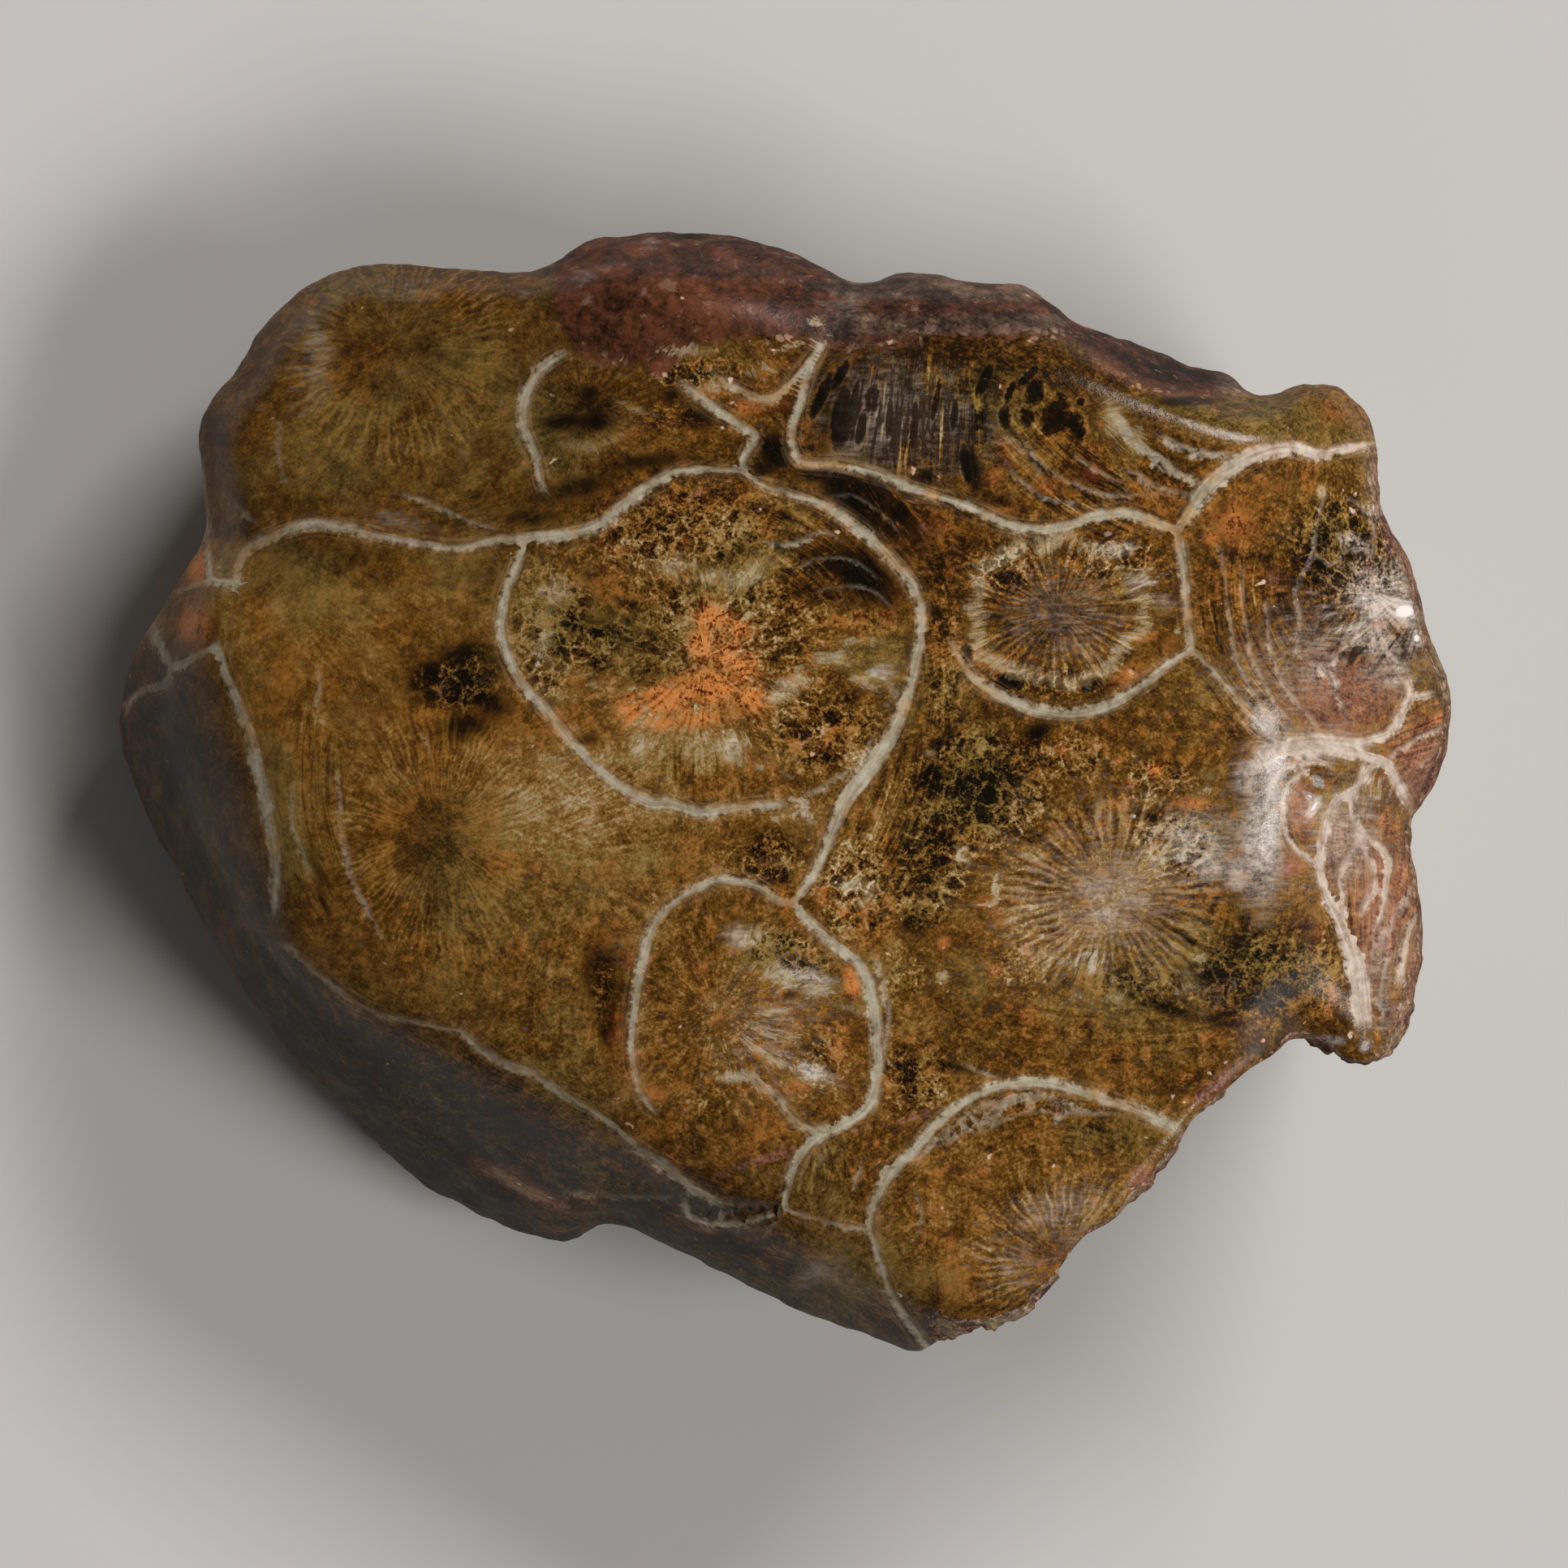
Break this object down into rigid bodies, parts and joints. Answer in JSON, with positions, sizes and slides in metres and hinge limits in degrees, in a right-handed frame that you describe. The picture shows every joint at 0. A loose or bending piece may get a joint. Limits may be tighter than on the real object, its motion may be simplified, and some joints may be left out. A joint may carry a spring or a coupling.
{
  "type": "polished fossil coral slice",
  "caption": "Thick natural stone slice of a fossil colony coral, with a domed polished face, broken edges and a flat sawn back; a display or paperweight stone.",
  "frame": {"origin": "on the flat sawn back, under the middle of the outline's bounding box", "axes": "+Z from the sawn back towards the polished face, +X along the longest extent, towards the end with the two broken bulges"},
  "size_m": [0.055, 0.0464, 0.0196],
  "materials": {
    "coral_stone": "lapped and polished limestone, mottled amber brown with cream corallite walls; broken edges dull red brown; back sawn and honed"
  },
  "bodies": {
    "root": {"coral_slice": "coral_stone"}
  },
  "joints": []
}
